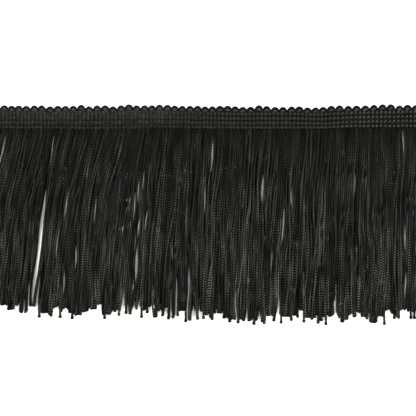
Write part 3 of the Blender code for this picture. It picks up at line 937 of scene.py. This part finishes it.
def build_level(level, strands, chain_rings, lock_noise, material, chance):
    """One level of strands, in a piece for each half of the trim."""
    lay, even_lay = ring_lays(strands.lengths, chain_rings, chance)
    x = refine(strands.place, lay)
    y = STRAND_START + along_trim(WAVES, "rise", strands.roots)[:, None] - lay
    z = np.maximum(refine(strands.lift, lay), LEAST_HEIGHT)
    centres = np.stack([x, y, z], axis=-1)
    thick = ring_sizes(strands.hangs_below, chain_rings, chance)
    each = (STITCH_COUNT, 1)
    along = even_lay / CHAIN_PITCH + chance.uniform(0, 1, size=each)
    spin = chance.uniform(0, FULL_TURN, size=each) + lay / MM * either_way(chance, TWIST_PER_MM, each)
    tone = strand_tones(x, z, lay, strands.lengths, lock_noise, chance)
    half = STITCH_COUNT // 2
    pieces = []
    for side, part in (("left", slice(0, half)), ("right", slice(half, STITCH_COUNT))):
        data = tubes(
            centres[part], thick[part], STRAND_SIDES, along[part], tone[part], STRAND_FLATNESS, spin[part]
        )
        piece = mesh_object(level.name + "_" + side, material, *data)
        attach(piece, "root")
        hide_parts(level.node)
        pieces.append(piece)
    return pieces


def build_strands(material):
    """The fringe: settles every strand, then makes each level's pieces."""
    chance = np.random.default_rng(STRAND_SEED)
    roots, heights, target = lay_out(chance)
    line = cut_line(target[:, STATION_NEAR_TIP]) + STRAND_START - TIP_SPREAD
    place, lift = settle(target, heights, STATIONS[None, :] < line[:, None], chance)
    place, lengths, hangs_below = cut_tips(place, chance)
    lock_noise = smooth_noise(chance, *LOCK_TONE_GRID)
    chain_rings = int(round((float(lengths.mean()) - TIP_REACH) / CHAIN_PITCH)) * RINGS_PER_CHAIN
    pieces = []
    for number, level in enumerate(LEVELS):
        rows = slice(number * STITCH_COUNT, (number + 1) * STITCH_COUNT)
        strands = Strands(roots[rows], place[rows], lift[rows], lengths[rows], hangs_below[rows])
        pieces += build_level(level, strands, chain_rings, lock_noise, material, chance)
    return pieces


def set_input(tree, socket, value):
    """Gives a socket a plain value, or joins it to another node's output."""
    if isinstance(value, bpy.types.NodeSocket):
        tree.links.new(value, socket)
    else:
        socket.default_value = value


def add_node(tree, kind, inputs, **settings):
    """Adds a shader node with its settings and inputs."""
    node = tree.nodes.new("ShaderNode" + kind)
    for name, value in settings.items():
        setattr(node, name, value)
    for name, value in inputs.items():
        set_input(tree, node.inputs[name], value)
    return node


def do_math(tree, operation, *values):
    """Output of a math node."""
    return add_node(tree, "Math", dict(enumerate(values)), operation=operation).outputs[0]


def parts_of(tree, vector):
    """Outputs X, Y and Z of a vector."""
    return add_node(tree, "SeparateXYZ", {0: vector}).outputs


def scaled(tree, vector, scale):
    """A vector multiplied part by part."""
    return add_node(tree, "VectorMath", {0: vector, 1: scale}, operation="MULTIPLY").outputs[0]


def noise(tree, vector, scale, detail=2.0):
    """Noise in 0 to 1."""
    return add_node(tree, "TexNoise", {"Vector": vector, "Scale": scale, "Detail": detail}).outputs["Fac"]


def map_range(tree, value, start, end, to_start=0.0, to_end=1.0, interpolation="LINEAR"):
    """A value from start to end, read as one from to_start to to_end and held within them."""
    inputs = {"Value": value, "From Min": start, "From Max": end, "To Min": to_start, "To Max": to_end}
    return add_node(tree, "MapRange", inputs, interpolation_type=interpolation).outputs["Result"]


def new_material(name):
    """A new material, its node tree and its shader."""
    material = bpy.data.materials.new(name)
    material.use_nodes = True
    return material, material.node_tree, material.node_tree.nodes["Principled BSDF"]


def ripples(tree, turn, slant, along):
    """One ripple for each chain along a yarn, slanted by its turn round the yarn."""
    phase = do_math(tree, "MULTIPLY_ADD", turn, slant, along)
    wave = do_math(tree, "SINE", do_math(tree, "MULTIPLY", phase, math.pi))
    return do_math(tree, "ABSOLUTE", wave)


def stitch_shading(tree, look, yarn, place, grid):
    """Painted light and shade of a yarn's stitches, lighter once in each chain and darker between, clearer
    low on the fringe and in some strands.
    """
    spot = parts_of(tree, place)
    widen = do_math(tree, "MULTIPLY_ADD", spot["X"], STITCH_WIDEN, 1.0)
    reach = do_math(tree, "MULTIPLY", do_math(tree, "SUBTRACT", spot["Y"], STITCH_TURN), widen)
    gain = map_range(tree, reach, STITCH_FULL, STITCH_LEAST, 1.0, look.near)
    clear = map_range(tree, noise(tree, grid, CLEARNESS_SCALE), *USUAL_NOISE, *STITCH_CLEARNESS)
    stitch = do_math(tree, "SUBTRACT", ripples(tree, yarn["X"], STITCH_SLANT, yarn["Z"]), STITCH_MEAN)
    return do_math(tree, "MULTIPLY", do_math(tree, "MULTIPLY", stitch, gain), clear)


def brightness(tree, look, stitch, fibres, geometry):
    """Brightness of a yarn, in doublings of its own hues."""
    tone = add_node(tree, "Attribute", {}, attribute_name="tone").outputs["Fac"]
    patches = noise(tree, geometry["Position"], PATCH_SCALE)
    doublings = do_math(tree, "MULTIPLY_ADD", tone, look.tone, YARN_LEVEL - look.tone / 2)
    # Painted shade on the flanks: darker where the surface's normal turns away from up
    for source, span, middle in (
        (patches, look.patch * 2, 0.5),
        (stitch, look.stitch, 0.0),
        (fibres, FIBRE_TONE * 2, 0.5),
        (parts_of(tree, geometry["Normal"])["Z"], look.flank, FLANK_SHADE_MEAN),
    ):
        from_middle = do_math(tree, "SUBTRACT", source, middle)
        doublings = do_math(tree, "MULTIPLY_ADD", from_middle, span, doublings)
    return doublings


def hue(tree, look, doublings, grid):
    """Hue of a yarn, between warm and cool: cooler where it is brighter, and varied in patches."""
    patches = map_range(tree, noise(tree, grid, HUE_SCALE), *USUAL_NOISE)
    share = do_math(tree, "MULTIPLY_ADD", patches, HUE_PATCH, HUE_MIDDLE - HUE_PATCH / 2)
    lightness = do_math(tree, "SUBTRACT", doublings, YARN_LEVEL)
    share = do_math(tree, "MULTIPLY_ADD", lightness, HUE_RISE, share)
    share = do_math(tree, "MAXIMUM", do_math(tree, "MINIMUM", share, 1.0), 0.0)
    inputs = {"Factor": share, "A": (*look.warm, 1.0), "B": (*look.cool, 1.0)}
    return add_node(tree, "Mix", inputs, data_type="RGBA").outputs["Result"]


def yarn_material(look):
    """Knitted yarn: chevron stitches and fibres as bump, and a tone that changes from yarn to yarn."""
    material, tree, shader = new_material(look.name)
    vector = add_node(tree, "Attribute", {}, attribute_name="yarn").outputs["Vector"]
    yarn = parts_of(tree, vector)
    geometry = add_node(tree, "NewGeometry", {}).outputs
    grid = scaled(tree, geometry["Position"], STRAND_GRID)
    fibres = noise(tree, scaled(tree, vector, FIBRE_STRETCH), FIBRE_SCALE, FIBRE_DETAIL)
    stitch = stitch_shading(tree, look, yarn, geometry["Position"], grid)
    doublings = brightness(tree, look, stitch, fibres, geometry)
    strength = do_math(tree, "POWER", 2.0, doublings)
    tint = hue(tree, look, doublings, grid)
    colour = add_node(tree, "VectorMath", {0: tint, "Scale": strength}, operation="SCALE").outputs[0]
    shine = do_math(tree, "MINIMUM", do_math(tree, "MULTIPLY", strength, look.specular), 1.0)
    smoothest = look.roughness - ROUGHNESS_SPREAD
    rough = map_range(tree, fibres, 0.0, 1.0, smoothest, look.roughness + ROUGHNESS_SPREAD)
    chevrons = ripples(tree, do_math(tree, "ABSOLUTE", yarn["X"]), look.chevron, yarn["Z"])
    relief = do_math(tree, "MULTIPLY_ADD", fibres, FIBRE_RELIEF, chevrons)
    bump = add_node(tree, "Bump", {"Strength": RELIEF, "Distance": look.depth, "Height": relief})
    for name, value in (
        ("Base Color", colour),
        ("Roughness", rough),
        ("Specular IOR Level", shine),
        ("Sheen Weight", look.sheen),
        ("Sheen Roughness", SHEEN_ROUGHNESS),
        ("Sheen Tint", SHEEN_TINT),
        ("Normal", bump.outputs["Normal"]),
    ):
        set_input(tree, shader.inputs[name], value)
    return material


def build_camera():
    """Straight down on the trim, with the photograph's frame."""
    width = FRAME_PIXELS * PIXEL
    middle = (FRAME_PIXELS / 2 - MIDDLE_ROW_PIXEL) * PIXEL
    camera = bpy.data.objects.new("camera", bpy.data.cameras.new("camera"))
    camera.data.lens = LENS
    camera.data.sensor_width = SENSOR
    camera.data.clip_start = CLIP_START
    camera.location = (CAMERA_SHIFT, -middle, width * LENS / SENSOR + FRAME_HEIGHT)
    bpy.context.scene.collection.objects.link(camera)
    bpy.context.scene.camera = camera


def build_floor():
    """A round sheet of white paper under the trim."""
    material, tree, shader = new_material("floor_paper")
    grain = add_node(tree, "TexNoise", {"Scale": FLOOR_GRAIN}).outputs["Fac"]
    ramp = add_node(tree, "ValToRGB", {"Fac": grain})
    for element, tone in zip(ramp.color_ramp.elements, FLOOR_TONES):
        element.color = (tone, tone, tone, 1.0)
    set_input(tree, shader.inputs["Base Color"], ramp.outputs["Color"])
    set_input(tree, shader.inputs["Roughness"], FLOOR_ROUGHNESS)
    bpy.ops.mesh.primitive_circle_add(
        vertices=FLOOR_SIDES, radius=FLOOR_RADIUS, fill_type="NGON", location=(0, MIDDLE, -FLOOR_SINK)
    )
    floor = bpy.context.object
    floor.name = "floor"
    floor.data.materials.append(material)


def build_surround():
    """A white surround, dimmer overhead."""
    world = bpy.data.worlds.new("studio")
    bpy.context.scene.world = world
    world.use_nodes = True
    tree = world.node_tree
    way = add_node(tree, "TexCoord", {}).outputs["Generated"]
    height = parts_of(tree, way)["Z"]
    strength = map_range(tree, height, 0.0, HORIZON_HEIGHT, HORIZON, SURROUND, "SMOOTHSTEP")
    background = tree.nodes["Background"]
    set_input(tree, background.inputs["Color"], (*LIGHT_TINT, 1.0))
    set_input(tree, background.inputs["Strength"], strength)


def add_lamp(name, place, size, power):
    """A soft lamp that faces the middle of the trim."""
    data = bpy.data.lights.new(name, "AREA")
    data.size = size
    data.energy = power
    data.color = LIGHT_TINT
    light = bpy.data.objects.new(name, data)
    light.location = place
    aim = Vector((0.0, MIDDLE, 0.0)) - Vector(place)
    light.rotation_mode = "QUATERNION"
    light.rotation_quaternion = aim.to_track_quat("-Z", "Y")
    bpy.context.scene.collection.objects.link(light)


def build_lamps():
    """The lamp overhead and the four at the corners."""
    add_lamp("overhead", OVERHEAD_PLACE, OVERHEAD_SIZE, OVERHEAD_POWER)
    for name, side, end in CORNERS:
        place = (side * CORNER_REACH, MIDDLE + end * CORNER_REACH, CORNER_HEIGHT)
        add_lamp(name, place, CORNER_SIZE, CORNER_POWER)


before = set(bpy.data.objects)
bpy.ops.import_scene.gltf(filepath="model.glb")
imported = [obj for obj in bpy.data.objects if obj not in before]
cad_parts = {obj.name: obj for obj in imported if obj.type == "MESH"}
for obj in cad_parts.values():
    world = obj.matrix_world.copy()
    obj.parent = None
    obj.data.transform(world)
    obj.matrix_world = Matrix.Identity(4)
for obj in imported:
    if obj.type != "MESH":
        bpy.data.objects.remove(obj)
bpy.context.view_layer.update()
bpy.context.scene.view_settings.view_transform = "Standard"
build_camera()
build_floor()
build_surround()
build_lamps()
strands = build_strands(yarn_material(STRAND_YARN))
cloth, on_cloth = build_heading(yarn_material(CLOTH_YARN), yarn_material(ROW_YARN), yarn_material(CORD_YARN))
